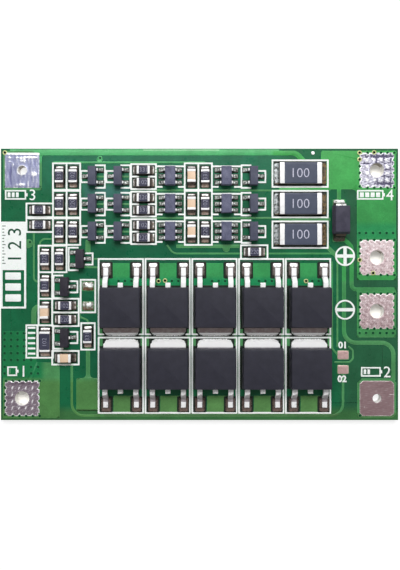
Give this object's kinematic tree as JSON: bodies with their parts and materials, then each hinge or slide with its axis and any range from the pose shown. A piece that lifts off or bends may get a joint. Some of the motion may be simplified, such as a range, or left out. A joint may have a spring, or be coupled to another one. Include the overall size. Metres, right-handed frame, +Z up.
{
  "type": "battery management board",
  "caption": "Rectangular green circuit board that protects and balances a small lithium battery, with plated wire holes along two ends and power transistors in two rows.",
  "frame": {"origin": "under the middle of the board, on the plane that its lower lands rest on", "axes": "+X along the board's long side to the load terminals, +Y towards the rows of small parts, +Z up out of the parts' side"},
  "size_m": [0.06, 0.041, 0.0035],
  "materials": {
    "coated_board": "green coated glass-fibre board, satin gloss",
    "coated_copper": "copper under the green coat, lighter green, satin gloss",
    "print_ink": "white printed ink, matt",
    "tin": "tinned copper land, dull silver with a pink cast",
    "solder": "reflowed solder, bright",
    "lead_metal": "tinned lead frame, satin",
    "end_metal": "tinned chip ends, satin",
    "tan_ceramic": "tan fired ceramic",
    "resistor_glaze": "dark resistor glaze over white ceramic",
    "grey_mould": "grey moulded epoxy",
    "black_mould": "black moulded epoxy, fine grain"
  },
  "bodies": {
    "root": {"laminate": "coated_board", "top_copper": "coated_copper", "bottom_copper": "coated_copper", "legend": "print_ink", "bare_lands": "tin", "terminal_tap_high": "tin", "terminal_battery_plus": "tin", "terminal_load_plus": "tin", "terminal_load_minus": "tin", "terminal_battery_minus": "tin", "terminal_tap_low": "tin", "power_transistor_body_1": "black_mould", "power_transistor_body_2": "black_mould", "power_transistor_body_3": "black_mould", "power_transistor_body_4": "black_mould", "power_transistor_body_5": "black_mould", "power_transistor_body_6": "black_mould", "power_transistor_body_7": "black_mould", "power_transistor_body_8": "black_mould", "power_transistor_body_9": "black_mould", "power_transistor_body_10": "black_mould", "power_transistor_frame_1": "lead_metal", "power_transistor_frame_2": "lead_metal", "power_transistor_frame_3": "lead_metal", "power_transistor_frame_4": "lead_metal", "power_transistor_frame_5": "lead_metal", "power_transistor_frame_6": "lead_metal", "power_transistor_frame_7": "lead_metal", "power_transistor_frame_8": "lead_metal", "power_transistor_frame_9": "lead_metal", "power_transistor_frame_10": "lead_metal", "power_transistor_solder": "solder", "sense_resistor_body_1": "resistor_glaze", "sense_resistor_body_2": "resistor_glaze", "sense_resistor_body_3": "resistor_glaze", "sense_resistor_caps": "end_metal", "sense_resistor_solder": "solder", "diode_body": "black_mould", "diode_leads": "lead_metal", "diode_solder": "solder", "protector_body_1": "grey_mould", "protector_body_2": "grey_mould", "protector_body_3": "grey_mould", "balancer_body_1": "grey_mould", "balancer_body_2": "grey_mould", "balancer_body_3": "grey_mould", "controller_leads": "lead_metal", "small_transistor_bodies": "black_mould", "small_transistor_leads": "lead_metal", "small_package_solder": "solder", "resistor_bodies": "resistor_glaze", "resistor_caps": "end_metal", "capacitor_bodies": "tan_ceramic", "capacitor_caps": "end_metal", "chip_solder": "solder"}
  },
  "joints": []
}
